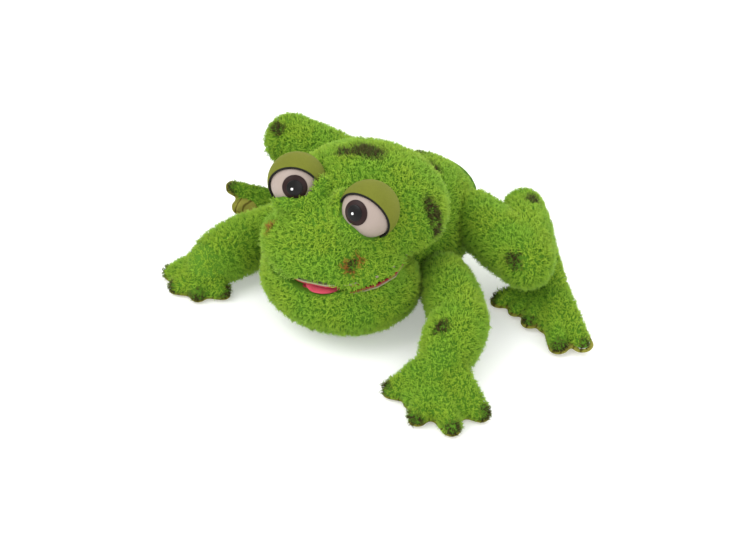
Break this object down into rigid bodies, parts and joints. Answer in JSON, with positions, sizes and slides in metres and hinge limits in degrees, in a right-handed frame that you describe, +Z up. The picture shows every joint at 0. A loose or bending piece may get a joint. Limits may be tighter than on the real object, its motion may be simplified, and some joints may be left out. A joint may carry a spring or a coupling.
{
  "type": "hand puppet",
  "caption": "Plush frog hand puppet lying on its belly, with an opening mouth, a turning head and floppy jointed arms and legs.",
  "frame": {"origin": "centre of the flat belly panel's underside, which is the face the puppet rests on", "axes": "+Z up, -Y is the way the frog looks, +X is the frog's own left side"},
  "size_m": [0.4465, 0.3223, 0.179],
  "materials": {
    "green_pile": "shaggy knitted pile with yellow-green tips",
    "olive_velour": "short-pile velour",
    "fibrefill": "loose polyester fibrefill",
    "lining_cloth": "plain woven lining",
    "red_velour": "short-pile velour",
    "stiff_board": "thin stiffening sheet",
    "eye_white": "satin",
    "iris_brown": "glossy",
    "pupil_black": "glossy",
    "black_cord": "covered cord",
    "washer_plastic": "plain"
  },
  "bodies": {
    "torso": {"torso_skin": "green_pile", "torso_padding": "fibrefill", "belly_panel": "olive_velour", "hand_sleeve": "lining_cloth", "sleeve_cuff": "olive_velour"},
    "neck": {"neck_gusset": "lining_cloth"},
    "head": {"head_skin": "green_pile", "head_padding": "fibrefill", "upper_palate": "red_velour", "upper_board": "stiff_board", "left_eye_dome": "eye_white", "left_eye_washer": "washer_plastic", "left_iris": "iris_brown", "left_pupil": "pupil_black", "left_eyelid": "olive_velour", "left_lid_piping": "black_cord", "right_eye_dome": "eye_white", "right_eye_washer": "washer_plastic", "right_iris": "iris_brown", "right_pupil": "pupil_black", "right_eyelid": "olive_velour", "right_lid_piping": "black_cord"},
    "jaw": {"jaw_skin": "green_pile", "jaw_padding": "fibrefill", "lower_palate": "red_velour", "lower_board": "stiff_board", "tongue": "red_velour"},
    "left_upper_arm": {"left_upper_arm_skin": "green_pile", "left_upper_arm_stuffing": "fibrefill"},
    "left_forearm": {"left_forearm_skin": "green_pile", "left_forearm_stuffing": "fibrefill"},
    "left_hand": {"left_hand_skin": "green_pile", "left_hand_stuffing": "fibrefill", "left_hand_sole": "olive_velour"},
    "left_thigh": {"left_thigh_skin": "green_pile", "left_thigh_stuffing": "fibrefill"},
    "left_shank": {"left_shank_skin": "green_pile", "left_shank_stuffing": "fibrefill"},
    "left_foot": {"left_foot_skin": "green_pile", "left_foot_stuffing": "fibrefill", "left_foot_sole": "olive_velour"},
    "right_upper_arm": {"right_upper_arm_skin": "green_pile", "right_upper_arm_stuffing": "fibrefill"},
    "right_forearm": {"right_forearm_skin": "green_pile", "right_forearm_stuffing": "fibrefill"},
    "right_hand": {"right_hand_skin": "green_pile", "right_hand_stuffing": "fibrefill", "right_hand_sole": "olive_velour"},
    "right_thigh": {"right_thigh_skin": "green_pile", "right_thigh_stuffing": "fibrefill"},
    "right_shank": {"right_shank_skin": "green_pile", "right_shank_stuffing": "fibrefill"},
    "right_foot": {"right_foot_skin": "green_pile", "right_foot_stuffing": "fibrefill", "right_foot_sole": "olive_velour"}
  },
  "joints": [
    {"name": "neck_turn", "type": "hinge", "parent": "torso", "child": "neck", "pos_m": [0, -0.015, 0.06], "axis": [0, 0, 1], "range_deg": [-8, 8]},
    {"name": "neck_nod", "type": "hinge", "parent": "neck", "child": "head", "pos_m": [0, -0.015, 0.06], "axis": [1, 0, 0], "range_deg": [-10, 8]},
    {"name": "jaw_open", "type": "hinge", "parent": "head", "child": "jaw", "pos_m": [0, -0.058, 0.066], "axis": [1, 0, 0], "range_deg": [0, 28]},
    {"name": "left_shoulder", "type": "hinge", "parent": "torso", "child": "left_upper_arm", "pos_m": [0.084, -0.042, 0.046], "axis": [-0.6783, -0.7348, 0], "range_deg": [-12, 36]},
    {"name": "left_elbow", "type": "hinge", "parent": "left_upper_arm", "child": "left_forearm", "pos_m": [0.136, -0.09, 0.042], "axis": [0, 0, 1], "range_deg": [-20, 32]},
    {"name": "left_wrist", "type": "hinge", "parent": "left_forearm", "child": "left_hand", "pos_m": [0.15, -0.141, 0.031], "axis": [-0.9846, -0.175, 0], "range_deg": [-10, 45]},
    {"name": "left_hip", "type": "hinge", "parent": "torso", "child": "left_thigh", "pos_m": [0.066, 0.038, 0.07], "axis": [-0.3861, -0.9224, 0], "range_deg": [-8, 30]},
    {"name": "left_knee", "type": "hinge", "parent": "left_thigh", "child": "left_shank", "pos_m": [0.152, 0.002, 0.069], "axis": [-0.0088, 0.0068, -0.9999], "range_deg": [0, 40]},
    {"name": "left_ankle", "type": "hinge", "parent": "left_shank", "child": "left_foot", "pos_m": [0.1, 0.082, 0.07], "axis": [0.7136, 0.4572, 0.5308], "range_deg": [0, 30]},
    {"name": "right_shoulder", "type": "hinge", "parent": "torso", "child": "right_upper_arm", "pos_m": [-0.084, -0.042, 0.046], "axis": [-0.7682, 0.6402, 0], "range_deg": [-12, 36]},
    {"name": "right_elbow", "type": "hinge", "parent": "right_upper_arm", "child": "right_forearm", "pos_m": [-0.124, -0.09, 0.037], "axis": [0, 0, 1], "range_deg": [-20, 20]},
    {"name": "right_wrist", "type": "hinge", "parent": "right_forearm", "child": "right_hand", "pos_m": [-0.139, -0.147, 0.031], "axis": [-0.9762, 0.2169, 0], "range_deg": [-10, 45]},
    {"name": "right_hip", "type": "hinge", "parent": "torso", "child": "right_thigh", "pos_m": [-0.066, 0.038, 0.07], "axis": [-0.0094, 1, 0], "range_deg": [-8, 30]},
    {"name": "right_knee", "type": "hinge", "parent": "right_thigh", "child": "right_shank", "pos_m": [-0.172, 0.037, 0.079], "axis": [0.0447, 0.7877, 0.6145], "range_deg": [0, 40]},
    {"name": "right_ankle", "type": "hinge", "parent": "right_shank", "child": "right_foot", "pos_m": [-0.117, 0.076, 0.025], "axis": [0.7711, -0.3736, 0.5156], "range_deg": [0, 30]}
  ]
}
